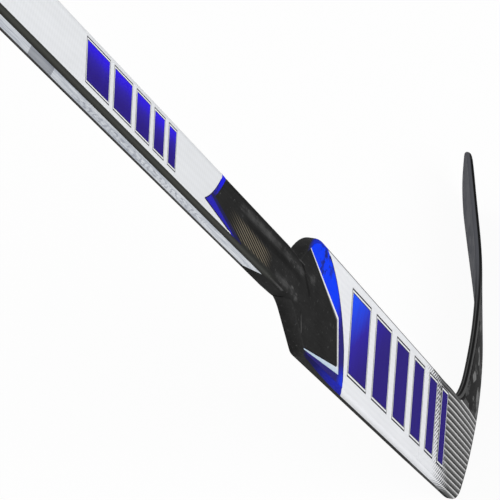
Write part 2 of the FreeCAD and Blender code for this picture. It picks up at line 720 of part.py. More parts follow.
def make_blade():
    """All pieces of the heel and blade."""
    keep = envelope(spare=RIM_SPARE)
    front = half_moulding(FRONT).common(keep).cut(rim_waste(FRONT))
    back = half_moulding(BACK).common(keep).cut(rim_waste(BACK))
    whole = full_moulding().common(envelope())
    cavity = hollow(BLADE_SKIN, RIM).common(envelope(RIM))
    core = hollow(BLADE_SKIN + CORE_GLUE, RIM + CORE_GLUE).common(envelope(RIM + CORE_GLUE))
    everywhere = (-FAR, FAR)
    strip_top = BLADE_HEIGHT - STRIP_HEIGHT

    def top_room(gap):
        return block((STRIP_START - gap, STRIP_END + gap), everywhere, (strip_top - gap, FAR))

    def sole_room(gap):
        return block((SOLE_START - gap, STRIP_END + gap), everywhere, (-FAR, STRIP_HEIGHT + gap))

    def skin(half):
        return only_solid(half.cut(cavity).cut(top_room(GLUE)).cut(sole_room(GLUE)))

    rib_low = (BLADE_HEIGHT - BLADE_RIB) / 2
    rib_high = rib_low + BLADE_RIB
    beyond_block = (HEEL_BLOCK_END + GLUE, FAR)

    def core_piece(along, up):
        return only_solid(core.common(block(along, everywhere, up)))

    return {
        "blade_skin_front": skin(front),
        "blade_skin_back": skin(back),
        "blade_top_strip": only_solid(whole.common(top_room(0))),
        "blade_sole_strip": only_solid(whole.common(sole_room(0))),
        "heel_block": core_piece((-FAR, HEEL_BLOCK_END), everywhere),
        "blade_rib": core_piece(beyond_block, (rib_low, rib_high)),
        "blade_core_lower": core_piece(beyond_block, (-FAR, rib_low - GLUE)),
        "blade_core_upper": core_piece(beyond_block, (rib_high + GLUE, FAR)),
        "heel_film_front": heel_film(FRONT),
        "heel_film_back": heel_film(BACK),
    }


def heel_film(side):
    """Printed film that carries the paddle's field on over the heel."""
    def depth(extra):
        return lambda thick: side * (thick / 2 + extra)

    film = flat_moulding(depth(GLUE), depth(GLUE + FILM), lambda thick: thick * EDGE_ROUNDING)
    paddle_side = lean(block((-FAR, HEEL_WIDTH), (-FAR, FAR), (-FAR, SEAM_HEIGHT - GLUE)))
    above_sole = block((-FAR, FAR), (-FAR, FAR), (STRIP_HEIGHT + GLUE, FAR))
    return only_solid(film.common(paddle_side).common(above_sole))


# Every piece, tipped to the lie and moved to the origin

upright = {
    "shaft_tube": make_tube(),
    "butt_plug": make_plug(),
    "shaft_film_front": wide_film(v_field(), FRONT),
    "shaft_film_back": wide_film(v_field(), BACK),
    "shaft_band_front": wide_film(v_band(), FRONT),
    "shaft_band_back": wide_film(v_band(), BACK),
    "shaft_film_rear": narrow_film(-1),
    "shaft_film_toe": narrow_film(1),
    "shoulder_tenon": tenon_solid(),
    "shoulder_sleeve": only_solid(sleeve_solid().cut(tenon_solid(GLUE))),
    "paddle_film_front": paddle_film(field_outline(), FRONT),
    "paddle_film_back": paddle_film(field_outline(), BACK),
    "shoulder_sweep_front": paddle_film(sweep_outline(), FRONT),
    "shoulder_sweep_back": paddle_film(sweep_outline(), BACK),
    "shoulder_stripe_front": paddle_film(stripe_outline(), FRONT),
    "shoulder_stripe_back": paddle_film(stripe_outline(), BACK),
}
upright.update(make_paddle())
pieces = {name: lean(shape) for name, shape in upright.items()}
pieces.update(make_blade())

os.makedirs("parts", exist_ok=True)
for name, shape in pieces.items():
    placed = shape.translated(vec(-HEEL_SETBACK, 0, 0))
    placed.exportStep("parts/" + name + ".step")
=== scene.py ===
import math

import bmesh
import bpy
from mathutils import Matrix, Vector
from mathutils.bvhtree import BVHTree


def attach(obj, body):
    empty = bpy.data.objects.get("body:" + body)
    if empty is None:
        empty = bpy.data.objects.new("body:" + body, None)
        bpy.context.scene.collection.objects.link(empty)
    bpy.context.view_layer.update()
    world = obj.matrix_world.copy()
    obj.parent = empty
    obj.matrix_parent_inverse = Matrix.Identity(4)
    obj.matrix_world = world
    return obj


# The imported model, and the stick's own directions: across toward the toe side,
# depth toward the back, up the shaft from the heel corner, all in millimetres
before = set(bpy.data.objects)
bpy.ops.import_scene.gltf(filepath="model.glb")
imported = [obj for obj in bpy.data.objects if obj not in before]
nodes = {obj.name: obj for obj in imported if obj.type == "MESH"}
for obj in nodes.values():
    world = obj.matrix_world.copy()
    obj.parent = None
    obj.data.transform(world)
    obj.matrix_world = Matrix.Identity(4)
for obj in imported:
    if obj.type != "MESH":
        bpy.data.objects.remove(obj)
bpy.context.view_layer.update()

MM = 1000                   # millimetres in a metre
LIE = math.radians(63)      # between the sole and the shaft
HEEL_SETBACK = 60.0         # how far the heel corner lies behind the origin
BLADE_HEIGHT = 83.0
BLADE_LENGTH = 376.0
BOW_START = 15.0            # curve of the blade, measured along the sole
BOW_END = 260.0
BOW_ANGLE = math.radians(20)
FACE_OPENING = 0.00039      # lean of the face for each millimetre along the blade
BLADE_EDGE = 8.0            # thickness that the bands of the blade's top edge are spread over
STRIPE_PITCH = 5.16         # shaded stripes of the heel
STRIPE_START = 3.0
FINE_PITCH = 4.6            # fine hatch where those stripes begin
FINE_SLANT = 0.634
HATCH_PITCH = 2.4           # slanted hatch on the shaft's wide faces
HATCH_SLANT = 0.196
WIDE_FACE = (9.2, 9.45)     # depth at which those faces begin
TICK_PITCH = 12.0           # ticks on the shaft's narrow faces
TICK_SLANT = 2.2
BLUE_END_SLANT = 0.6        # end of the blue between the silver wedge and the rear edge
SWEEP_START = 503.0         # height of the blue sweep's lower end, on the rear edge
FRONT, BACK = -1, 1
SIDES = {FRONT: "front", BACK: "back"}


def place(across, depth, up):
    """Point of the stick in the row frame, in metres."""
    x = across * math.sin(LIE) - up * math.cos(LIE) - HEEL_SETBACK
    z = across * math.cos(LIE) + up * math.sin(LIE)
    return Vector((x, depth, z)) / MM


def circle_through(first, middle, last):
    """Centre and radius of the circle through three places."""
    (ax, ay), (bx, by), (cx, cy) = first, middle, last
    d = 2 * (ax * (by - cy) + bx * (cy - ay) + cx * (ay - by))
    ox = ((ax**2 + ay**2) * (by - cy) + (bx**2 + by**2) * (cy - ay) + (cx**2 + cy**2) * (ay - by)) / d
    oy = ((ax**2 + ay**2) * (cx - bx) + (bx**2 + by**2) * (ax - cx) + (cx**2 + cy**2) * (bx - ax)) / d
    return ox, oy, math.hypot(ax - ox, ay - oy)


# Materials

def grey(level):
    return (level, level, level, 1.0)


def shade(*levels):
    """Linear colour from screen levels of 0 to 255."""
    linear = []
    for level in levels:
        share = level / 255
        linear.append(share / 12.92 if share < 0.04045 else ((share + 0.055) / 1.055) ** 2.4)
    return (*linear, 1.0)


def dull(level):
    """Grey from one screen level."""
    return shade(level, level, level)


class Paint:
    """One material's nodes, with the place on the stick ready as a vector in millimetres."""

    def __init__(self, name):
        self.material = bpy.data.materials.new(name)
        self.material.use_nodes = True
        self.tree = self.material.node_tree
        self.shader = self.tree.nodes["Principled BSDF"]
        coordinates = self.tree.nodes.new("ShaderNodeTexCoord").outputs["Object"]
        turn = math.radians(90) - LIE
        offset = (HEEL_SETBACK * math.cos(turn), 0.0, -HEEL_SETBACK * math.sin(turn))
        mapping = self.add(
            "ShaderNodeMapping",
            Vector=coordinates,
            Location=offset,
            Rotation=(0, turn, 0),
            Scale=(MM, MM, MM),
        )
        self.spot = mapping.outputs["Vector"]
        split = self.add("ShaderNodeSeparateXYZ", Vector=self.spot)
        self.across, self.depth, self.up = split.outputs

    def feed(self, socket, value):
        if isinstance(value, bpy.types.NodeSocket):
            self.tree.links.new(value, socket)
        else:
            socket.default_value = value

    def add(self, kind, **inputs):
        node = self.tree.nodes.new(kind)
        for name, value in inputs.items():
            self.feed(node.inputs[name.replace("_", " ")], value)
        return node

    def math(self, operation, *values):
        node = self.tree.nodes.new("ShaderNodeMath")
        node.operation = operation
        for socket, value in zip(node.inputs, values):
            self.feed(socket, value)
        return node.outputs[0]

    def total(self, *terms):
        """Sum of (socket, factor) pairs and plain numbers or sockets."""
        result = None
        for term in terms:
            if isinstance(term, tuple):
                term = self.math("MULTIPLY", *term)
            result = term if result is None else self.math("ADD", result, term)
        return result

    def times(self, *factors):
        result = factors[0]
        for factor in factors[1:]:
            result = self.math("MULTIPLY", result, factor)
        return result

    def fade(self, value, start, end):
        """Smooth 0 to 1 as the value goes from start to end."""
        node = self.tree.nodes.new("ShaderNodeMapRange")
        node.interpolation_type = "SMOOTHSTEP"
        self.feed(node.inputs["Value"], value)
        rising = start < end
        self.feed(node.inputs["From Min"], min(start, end))
        self.feed(node.inputs["From Max"], max(start, end))
        self.feed(node.inputs["To Min"], 0.0 if rising else 1.0)
        self.feed(node.inputs["To Max"], 1.0 if rising else 0.0)
        return node.outputs["Result"]

    def between(self, value, low, high, soft):
        """1 between two values, with soft ends."""
        rising = self.fade(value, low - soft, low + soft)
        falling = self.fade(value, high + soft, high - soft)
        return self.times(rising, falling)

    def stretched(self, across, depth, up):
        """The place on the stick, scaled along each direction."""
        node = self.tree.nodes.new("ShaderNodeVectorMath")
        node.operation = "MULTIPLY"
        self.feed(node.inputs[0], self.spot)
        self.feed(node.inputs[1], (across, depth, up))
        return node.outputs[0]

    def noise(self, vector, scale=1.0, detail=2.0, roughness=0.5):
        node = self.add(
            "ShaderNodeTexNoise", Vector=vector, Scale=scale, Detail=detail, Roughness=roughness
        )
        return node.outputs["Fac"]

    def cells(self, vector, scale=1.0):
        """One value for each cell of a Voronoi pattern."""
        node = self.add("ShaderNodeTexVoronoi", Vector=vector, Scale=scale)
        split = self.add("ShaderNodeSeparateColor", Color=node.outputs["Color"])
        return split.outputs[0]

    def mix(self, factor, first, second):
        node = self.tree.nodes.new("ShaderNodeMix")
        node.data_type = "RGBA"
        factor_in, first_in, second_in = node.inputs[0], node.inputs[6], node.inputs[7]
        self.feed(factor_in, factor)
        self.feed(first_in, first)
        self.feed(second_in, second)
        return node.outputs[2]

    def ramp(self, value, *stops):
        """Colours at places from 0 to 1."""
        node = self.tree.nodes.new("ShaderNodeValToRGB")
        ramp = node.color_ramp
        while len(ramp.elements) < len(stops):
            ramp.elements.new(0.5)
        for element, (position, colour) in zip(ramp.elements, stops):
            element.position = position
            element.color = colour
        self.feed(node.inputs["Fac"], value)
        return node.outputs["Color"]

    def greys(self, value, *stops):
        """Greys, as screen levels, at places from 0 to 1."""
        return self.ramp(value, *[(position, dull(level)) for position, level in stops])

    def finish(self, colour, roughness, bump=None, strength=0.2, distance=0.0002, **settings):
        self.feed(self.shader.inputs["Base Color"], colour)
        self.feed(self.shader.inputs["Roughness"], roughness)
        for name, value in settings.items():
            self.feed(self.shader.inputs[name.replace("_", " ")], value)
        if bump is not None:
            node = self.add("ShaderNodeBump", Height=bump, Strength=strength, Distance=distance)
            self.feed(self.shader.inputs["Normal"], node.outputs["Normal"])
        return self.material


def weave(paint, pitch):
    """Shallow diamond pattern of a woven ply under the surface, from -1 to 1."""
    turns = math.tau / pitch
    rising = paint.math("SINE", paint.total((paint.across, turns), (paint.up, turns)))
    falling = paint.math("SINE", paint.total((paint.across, turns), (paint.up, -turns)))
    return paint.times(rising, falling)


def metal_grain(paint):
    """Fine grain of a metallic ink."""
    return paint.noise(paint.stretched(2.2, 2.2, 0.5), detail=3.0)


def carbon_parts(paint):
    """Tow streaks, cloudy patches and specks of a moulded carbon surface."""
    streaks = paint.noise(paint.stretched(1.6, 1.6, 0.03), detail=3.0)
    clouds = paint.noise(paint.stretched(0.06, 0.06, 0.025), detail=4.0, roughness=0.65)
    specks = paint.fade(paint.noise(paint.spot, scale=0.3, detail=4.0, roughness=0.7), 0.6, 0.72)
    return streaks, clouds, specks


def blot(paint, centre, reach, soft=0.9):
    """Soft oval mark at one place, with its reach across and up."""
    across = paint.times(paint.total(paint.across, -centre[0]), 1 / reach[0])
    up = paint.times(paint.total(paint.up, -centre[1]), 1 / reach[1])
    distance = paint.math("SQRT", paint.total(paint.times(across, across), paint.times(up, up)))
    return paint.fade(distance, 1.0, 1.0 - soft)


def beside_line(paint, first, last):
    """Distance from the line between two places, positive on its left."""
    run = Vector((last[0] - first[0], last[1] - first[1])).normalized()
    return paint.total((paint.across, -run.y), (paint.up, run.x), first[0] * run.y - first[1] * run.x)


def stroke(paint, first, last, width):
    """Soft straight mark between two places."""
    run = Vector((last[0] - first[0], last[1] - first[1]))
    length = run.length
    run.normalize()
    along = paint.total((paint.across, run.x), (paint.up, run.y), -(first[0] * run.x + first[1] * run.y))
    near = paint.fade(paint.math("ABSOLUTE", beside_line(paint, first, last)), width, width * 0.3)
    return paint.times(near, paint.between(along, 0.0, length, min(width, length / 4)))


def oblong(paint, across, up, soft):
    """Mark with soft ends, from its limits across and up and its softness in both."""
    sideways = paint.between(paint.across, *across, soft[0])
    return paint.times(sideways, paint.between(paint.up, *up, soft[1]))


def neck_light_and_shade(paint):
    """Painted highlights and painted shade about the neck, where the shaft runs into the shoulder, with a
    few light specks.
    """
    # lighter marks: painted highlights along the neck's corners and edges, and a few light specks
    lighter = [
        (oblong(paint, (50.5, 55.5), (684, 890), (1.6, 8)), 0.55),
        (oblong(paint, (30.5, 35.5), (690, 775), (2.0, 12)), 0.5),
        (blot(paint, (55.5, 655.0), (7.5, 20.0)), 0.6),
        (blot(paint, (36.2, 714.0), (1.3, 7.0)), 1.0),
        (blot(paint, (35.0, 696.0), (1.1, 6.0)), 0.8),
        (blot(paint, (39.0, 578.0), (2.5, 8.0)), 0.6),
        (blot(paint, (31.5, 693.0), (3.0, 11.0)), 0.8),
        (stroke(paint, (26.0, 668.0), (14.0, 657.0), 1.6), 1.0),
        (stroke(paint, (60.6, 762.0), (60.4, 684.0), 0.7), 0.9),
        (stroke(paint, (28.4, 790.0), (28.2, 736.0), 0.7), 0.7),
    ]
    # darker marks: painted shade in the creases and along the toe-side edge
    darker = [
        (oblong(paint, (57.4, 59.6), (684, 930), (0.8, 8)), 0.8),
        (oblong(paint, (45.0, 49.0), (690, 870), (1.4, 14)), 0.6),
        (stroke(paint, (58.5, 690.0), (44.0, 655.0), 2.6), 0.9),
        (stroke(paint, (28.0, 671.0), (16.0, 660.0), 1.6), 0.6),
    ]
    return paint.total(*lighter), paint.total(*darker)


def dark_carbon(paint, low, high):
    """Colour, roughness and relief of the dark carbon about the neck, with painted highlights and painted
    shade along its corners and creases.
    """
    streaks, clouds, specks = carbon_parts(paint)
    light, dark = neck_light_and_shade(paint)
    # painted highlight, mottled by the clouds, lightens the tone and painted shade darkens it
    wear_and_sheen = paint.times(light, paint.total((clouds, 1.6), (specks, 0.4), -0.1))
    tone = paint.total((streaks, 0.35), (clouds, 0.65), (specks, 0.45), (wear_and_sheen, 0.5), (dark, -0.3))
    colour = paint.ramp(tone, (0.25, low), (0.62, high), (1.0, dull(84)))
    ply = weave(paint, pitch=3.0)
    height = paint.total((streaks, 0.6), (ply, 0.2), (specks, 0.4), (light, 0.3), (dark, -0.5))
    rough = paint.total((clouds, 0.16), 0.52)
    return colour, rough, height


DARK_GLOSS = 0.008          # specular level of the dark surfaces, seen at a low angle
PALE_GLOSS = 0.03           # and of the pale ones
FILM_GLOSS = 0.2            # and of the shaft's white and the pinstripe
NECK_TONES = (dull(16), dull(38))


def carbon_satin():
    paint = Paint("carbon_satin")
    colour, rough, height = dark_carbon(paint, *NECK_TONES)
    return paint.finish(colour, rough, bump=height, strength=0.15, Specular_IOR_Level=DARK_GLOSS)


def shaft_carbon():
    """Carbon of the shaft, with a panel of fine slanted hatch on its wide faces, and painted highlight and
    painted shade on its rear corners.
    """
    paint = Paint("shaft_carbon")
    colour, rough, height = dark_carbon(paint, *NECK_TONES)
    slant = paint.total(paint.across, (paint.up, -HATCH_SLANT))
    line = paint.fade(paint.math("SINE", paint.times(slant, math.tau / HATCH_PITCH)), 0.0, 0.9)
    deep = paint.math("ABSOLUTE", paint.depth)
    panel = paint.times(
        paint.fade(paint.up, 782, 814),
        paint.fade(paint.up, 916, 862),
        paint.fade(paint.total(paint.across, (paint.up, -0.115)), -70.5, -66.5),
        paint.fade(paint.total(paint.across, (paint.up, -0.03)), 20.5, 16.0),
        paint.fade(deep, *WIDE_FACE),
    )
    colour = paint.mix(paint.times(line, panel, 0.7), colour, shade(142, 131, 110))
    # painted light on the rounded rear corners: a lighter band on the front corner's rounding and painted
    # shade on the back corner
    corner = paint.times(paint.fade(paint.across, 32.2, 31.6), paint.fade(paint.up, 752, 800), 0.85)
    corner_light_and_shade = paint.ramp(
        paint.times(deep, 0.1),
        (0.5, shade(26, 27, 25)),
        (0.62, shade(52, 53, 49)),
        (0.8, shade(72, 73, 69)),
        (0.92, shade(44, 45, 43)),
    )
    corner_light_and_shade = paint.mix(paint.fade(paint.depth, -1.0, 1.0), corner_light_and_shade, dull(16))
    colour = paint.mix(corner, colour, corner_light_and_shade)
    return paint.finish(colour, rough, bump=height, strength=0.15, Specular_IOR_Level=DARK_GLOSS)


def blade_middle(paint):
    """Distance along the blade, height above the ice and depth from its curved middle surface."""
    along = paint.total((paint.across, math.sin(LIE)), (paint.up, -math.cos(LIE)))
    height = paint.total((paint.across, math.cos(LIE)), (paint.up, math.sin(LIE)))
    radius = (BOW_END - BOW_START) / math.sin(BOW_ANGLE)
    past_start = paint.math("MAXIMUM", paint.total(along, -BOW_START), 0.0)
    reach = paint.math("MINIMUM", past_start, BOW_END - BOW_START)
    root = paint.math("SQRT", paint.math("SUBTRACT", radius * radius, paint.times(reach, reach)))
    straight = paint.math("MAXIMUM", paint.total(along, -BOW_END), 0.0)
    opened = paint.times(past_start, FACE_OPENING, height)
    middle = paint.total(
        paint.math("SUBTRACT", radius, root), (straight, math.tan(BOW_ANGLE)), (opened, -1.0)
    )
    return along, height, paint.math("SUBTRACT", paint.depth, middle)


def blade_carbon():
    """Carbon of the blade: angular patches of cloth by the heel, an even grey toe and a top edge with
    painted highlight lines and painted shade where its rounding turns away.
    """
    paint = Paint("blade_carbon")
    streaks, clouds, specks = carbon_parts(paint)
    along, height, depth = blade_middle(paint)
    patches = paint.cells(paint.stretched(0.1, 0.02, 0.045))
    tows = paint.noise(paint.stretched(0.5, 0.5, 0.1), detail=2.0)
    tone = paint.total((patches, 0.75), (tows, 0.4), (clouds, 0.2))
    cloth = paint.greys(tone, (0.5, 6), (0.6, 14), (0.68, 38), (0.76, 68), (0.88, 80), (1.0, 122))
    even = paint.mix(paint.total((streaks, 0.5), (clouds, 0.5)), shade(66, 67, 72), shade(86, 87, 92))
    toeward = paint.fade(along, 150, 235)
    face = paint.mix(toeward, cloth, even)
    place_in_edge = paint.total((depth, 1 / BLADE_EDGE), 0.5)
    # bands across the top edge's thickness: a thin painted highlight line and painted shade where the
    # rounding turns away
    heel_edge_shading = paint.greys(
        place_in_edge, (0.2, 96), (0.27, 88), (0.31, 24), (0.56, 26), (0.61, 92), (0.66, 86), (0.71, 46)
    )
    toe_edge_shading = paint.ramp(
        place_in_edge,
        (0.2, dull(26)),
        (0.42, dull(22)),
        (0.47, shade(82, 83, 88)),
        (0.8, shade(80, 81, 86)),
    )
    edge = paint.mix(toeward, heel_edge_shading, toe_edge_shading)
    wear_and_sheen = paint.times(paint.fade(streaks, 0.9, 0.1), paint.math("SUBTRACT", 1.0, toeward), 0.5)
    edge = paint.mix(wear_and_sheen, edge, dull(30))
    facing = paint.add("ShaderNodeSeparateXYZ", Vector=paint.add("ShaderNodeNewGeometry").outputs["Normal"])
    sideways = paint.fade(paint.math("ABSOLUTE", facing.outputs["Y"]), 0.9, 0.75)
    at_top = paint.fade(height, BLADE_HEIGHT - 6.0, BLADE_HEIGHT - 4.0)
    at_toe = paint.fade(along, BLADE_LENGTH - 30.0, BLADE_LENGTH - 24.0)
    on_edge = paint.times(paint.math("MAXIMUM", at_top, at_toe), sideways)
    colour = paint.mix(on_edge, face, edge)
    wrapped, _ = field_colour(paint)
    wrap = paint.times(paint.fade(paint.across, 7.0, 6.0), paint.fade(paint.depth, -0.6, -0.9))
    colour = paint.mix(wrap, colour, wrapped)
    rough = paint.total((patches, 0.14), 0.5)
    relief = paint.total((tows, 0.6), (weave(paint, pitch=2.5), 0.3), (specks, 0.4))
    return paint.finish(colour, rough, bump=relief, strength=0.12, Specular_IOR_Level=DARK_GLOSS)


def sole_carbon():
    """Darker carbon of the strip along the sole and of the hidden ribs."""
    paint = Paint("sole_carbon")
    streaks, clouds, specks = carbon_parts(paint)
    tone = paint.total((streaks, 0.5), (clouds, 0.5), (specks, 0.2))
    colour = paint.mix(paint.fade(tone, 0.3, 0.8), dull(18), dull(42))
    rough = paint.total((clouds, 0.2), 0.45)
    return paint.finish(colour, rough, bump=streaks, strength=0.1, Specular_IOR_Level=DARK_GLOSS)


SHAFT_PALE = (shade(212, 214, 217), shade(230, 232, 235))
PADDLE_PALE = (shade(226, 228, 232), shade(244, 245, 248))


def pale_colour(paint, low, high):
    """Off-white print with the weave below showing through, and its shimmer."""
    shimmer = paint.total((weave(paint, pitch=9.0), 0.5), 0.5)
    clouds = paint.noise(paint.stretched(0.08, 0.08, 0.02), detail=3.0)
    tone = paint.total((shimmer, 0.4), (clouds, 0.6))
    return paint.mix(tone, low, high), shimmer


def field_colour(paint):
    """Pale field of the paddle, which turns into shaded stripes toward the heel."""
    colour, shimmer = pale_colour(paint, *PADDLE_PALE)
    below = paint.total((paint.across, 1.3), (paint.up, -1.0), 95.0)
    slant = paint.total(paint.across, (paint.up, FINE_SLANT))
    fine = paint.fade(paint.math("SINE", paint.times(slant, math.tau / FINE_PITCH)), -0.2, 0.5)
    cover = paint.fade(paint.total(below, (fine, 40.0)), 0, 50)
    saw = paint.math("FRACT", paint.times(paint.total(paint.across, -STRIPE_START), 1 / STRIPE_PITCH))
    stripes = paint.greys(
        saw, (0.0, 4), (0.14, 8), (0.26, 60), (0.5, 98), (0.66, 140), (0.77, 224), (0.86, 216), (0.93, 4)
    )
    veil = paint.times(paint.fade(below, -18, 14), paint.fade(below, 62, 34), fine, 0.4)
    printed = paint.mix(veil, paint.mix(cover, colour, stripes), dull(70))
    return printed, shimmer


def shaft_white():
    paint = Paint("film_white_shaft")
    colour, shimmer = pale_colour(paint, *SHAFT_PALE)
    rough = paint.total((shimmer, 0.06), 0.42)
    return paint.finish(colour, rough, bump=shimmer, strength=0.05, Specular_IOR_Level=FILM_GLOSS)


def paddle_white():
    paint = Paint("film_white_paddle")
    colour, shimmer = field_colour(paint)
    rough = paint.total((shimmer, 0.06), 0.42)
    return paint.finish(colour, rough, bump=shimmer, strength=0.03, Specular_IOR_Level=PALE_GLOSS)


def along_blue_end(paint):
    """Height above a line that slants like the end of the blue beside the wedge."""
    return paint.total(paint.up, (paint.across, -BLUE_END_SLANT))


def rail_print():
    """Edge of the paddle: the front print runs round the corner, the rest is bare carbon."""
    paint = Paint("rail_print")
    bare, rough, height = dark_carbon(paint, dull(20), dull(46))
    pale, _ = field_colour(paint)
    grain = metal_grain(paint)
    low_blue = paint.mix(grain, shade(30, 32, 140), shade(34, 42, 190))
    high_blue = paint.mix(grain, shade(20, 30, 150), shade(30, 60, 225))
    rear_blue = paint.mix(paint.fade(paint.up, 520, 620), low_blue, shade(24, 22, 70))
    toe_side = paint.fade(paint.across, 40, 50)
    rear_side = paint.math("SUBTRACT", 1.0, toe_side)
    blue = paint.mix(toe_side, rear_blue, high_blue)
    round_the_edge = paint.math("MAXIMUM", paint.total(paint.depth, 5.8), 0.0)
    rise = paint.total((paint.across, 0.6), (paint.times(paint.across, paint.across), 0.0095))
    past_field = paint.total(paint.up, (rise, -1.0), (round_the_edge, 3.4), -SWEEP_START)
    above_field = paint.fade(past_field, -0.4, 0.4)
    printed = paint.mix(above_field, pale, blue)
    rear_limit = paint.total((paint.fade(paint.up, 500, 655), -4.5), -0.9)
    toe_limit = paint.total((above_field, 5.0), -5.75)
    limit = paint.total(paint.times(toe_side, toe_limit), paint.times(rear_side, rear_limit))
    inked = paint.fade(paint.math("SUBTRACT", paint.depth, limit), 0.15, -0.15)
    below_end = paint.fade(along_blue_end(paint), 640.0, 628.0)
    past_stripe = paint.fade(paint.total(paint.up, (round_the_edge, 6.3), (grain, 14.0)), 692.0, 676.0)
    ends = paint.total(paint.times(rear_side, below_end), paint.times(toe_side, past_stripe))
    inked = paint.times(inked, ends)
    colour = paint.mix(inked, bare, printed)
    return paint.finish(colour, rough, bump=height, strength=0.08, Specular_IOR_Level=DARK_GLOSS)


SWEEP_BEND = ((30.0, 522.6), (60.0, 562.2), (85.0, 623.2))   # where the pale field laps over the sweep


def past_bend(paint):
    """1 on the pale side of the sweep's bend."""
    centre_across, centre_up, radius = circle_through(*SWEEP_BEND)
    aside = paint.total(paint.across, -centre_across)
    above = paint.total(paint.up, -centre_up)
    reach = paint.math("SQRT", paint.total(paint.times(aside, aside), paint.times(above, above)))
    return paint.fade(reach, radius - 0.3, radius + 0.3)


def sweep_smoke(paint, colour):
    """Dark smoke high in the sweep, its dark end beside the wedge and the field that laps over it."""
    wisps = paint.noise(paint.stretched(0.11, 0.11, 0.07), detail=3.0, roughness=0.65)
    smoke = paint.times(paint.fade(wisps, 0.5, 0.62), paint.between(paint.up, 604, 650, 14), 0.85)
    colour = paint.mix(smoke, colour, shade(24, 28, 84))
    beyond_end = paint.fade(along_blue_end(paint), 624.0, 640.0)
    colour = paint.mix(paint.times(beyond_end, paint.fade(paint.across, 24, 14)), colour, dull(24))
    pale, _ = pale_colour(paint, *PADDLE_PALE)
    return paint.mix(past_bend(paint), colour, pale)


def band_smoke(paint, colour):
    """Dark inner margin of the shaft's band, and smoke where it bends."""
    from_edge = paint.total((paint.up, 0.158), (paint.across, -1.0), -108.1)
    margin = paint.times(paint.fade(from_edge, 3.4, 2.0), paint.fade(paint.across, 46, 42))
    colour = paint.mix(paint.times(margin, 0.85), colour, dull(26))
    wisps = paint.noise(paint.stretched(0.5, 0.5, 0.4), detail=3.0, roughness=0.65)
    at_bend = paint.times(paint.between(paint.across, 41, 51, 3), paint.fade(paint.up, 936, 946))
    smoke = paint.times(paint.fade(wisps, 0.34, 0.6), at_bend, 0.8)
    return paint.mix(smoke, colour, shade(34, 30, 78))


def blue_print(name, gauge, deep, middle, bright, smoke=None):
    """Blue print with a fine metal grain; gauge gives its brightness from 0 to 1 on the stick."""
    paint = Paint(name)
    grain = metal_grain(paint)
    bands = paint.noise(paint.stretched(0.02, 0.02, 0.11), detail=2.0)
    level = paint.total(gauge(paint), (grain, 0.14), (bands, 0.2), -0.17)
    colour = paint.ramp(level, (0.0, deep), (0.45, middle), (1.0, bright))
    if smoke:
        colour = smoke(paint, colour)
    rough = paint.total((grain, 0.15), 0.45)
    return paint.finish(colour, rough, bump=grain, strength=0.05, Specular_IOR_Level=DARK_GLOSS)


def sweep_gauge(paint):
    upper = paint.times(paint.fade(paint.up, 540, 578), paint.fade(paint.across, 24, 40))
    lower = paint.times(paint.fade(paint.up, 534, 512), paint.fade(paint.across, 22, 8))
    return paint.math("MAXIMUM", upper, paint.times(lower, 0.7))


def band_gauge(paint):
    return paint.total((paint.fade(paint.across, 30, 58), 0.75), 0.12)


def paddle_ink_gauge(paint):
    return paint.fade(paint.total(paint.up, (paint.across, 1.6)), 470, 660)


def shaft_ink_gauge(paint):
    return paint.total((paint.fade(paint.across, 38, 58), 0.85), 0.05)


def stripe_film():
    """White pinstripe with a dark inner margin, which turns icy blue in the wedge."""
    paint = Paint("film_stripe")
    grain = paint.noise(paint.stretched(0.6, 0.6, 0.1), detail=2.0)
    icy = paint.times(paint.fade(paint.across, 20, 8), paint.total((grain, 0.5), 0.6))
    colour = paint.mix(icy, shade(236, 236, 238), shade(168, 196, 220))
    top, knee, foot = (75.1, 678.0), (46.7, 560.8), (15.4, 533.5)
    margin = paint.times(
        paint.fade(beside_line(paint, top, knee), 0.25, -0.25),
        paint.fade(beside_line(paint, knee, foot), 0.25, -0.25),
        paint.fade(paint.across, 14.0, 15.0),
    )
    colour = paint.mix(margin, colour, dull(26))
    rough = paint.total((grain, 0.15), 0.32)
    return paint.finish(colour, rough, bump=grain, strength=0.04, Specular_IOR_Level=FILM_GLOSS)


def silver_film():
    """Brushed silver print of the narrow faces, with a run of uneven slanted ticks."""
    paint = Paint("film_silver")
    brushed = paint.noise(paint.stretched(3.0, 3.0, 0.05), detail=3.0)
    clouds = paint.noise(paint.stretched(0.3, 0.3, 0.012), detail=2.0)
    tone = paint.total((brushed, 0.5), (clouds, 0.5))
    colour = paint.mix(paint.fade(tone, 0.32, 0.66), shade(172, 180, 193), shade(240, 244, 249))
    slant = paint.total(paint.up, (paint.depth, TICK_SLANT))
    uneven = paint.noise(paint.stretched(0.2, 0.2, 0.04), detail=2.0)
    wander = paint.total(slant, (uneven, 40.0))
    tick = paint.fade(paint.math("SINE", paint.times(wander, math.tau / TICK_PITCH)), -0.2, 0.8)
    wear_and_sheen = paint.fade(brushed, 0.38, 0.62)
    run = paint.times(paint.between(paint.up, 930, 1235, 14), paint.between(paint.depth, -2.8, 2.8, 0.9))
    colour = paint.mix(paint.times(tick, wear_and_sheen, run, 0.62), colour, shade(96, 100, 124))
    patch = paint.between(slant, 1285, 1330, 0.6)
    colour = paint.mix(paint.times(patch, 0.55), colour, shade(70, 74, 90))
    rim = paint.fade(paint.depth, 3.4, 3.8)
    colour = paint.mix(rim, colour, dull(22))
    rough = paint.total((brushed, 0.2), 0.3)
    return paint.finish(colour, rough, bump=brushed, strength=0.06, Specular_IOR_Level=PALE_GLOSS)


def plug_plastic():
    paint = Paint("plug_plastic")
    grain = paint.noise(paint.spot, scale=2.5, detail=2.0)
    colour = paint.mix(grain, shade(24, 24, 26), shade(40, 40, 42))
    rough = paint.total((grain, 0.2), 0.5)
    return paint.finish(colour, rough, bump=grain, strength=0.25, Specular_IOR_Level=0.3)


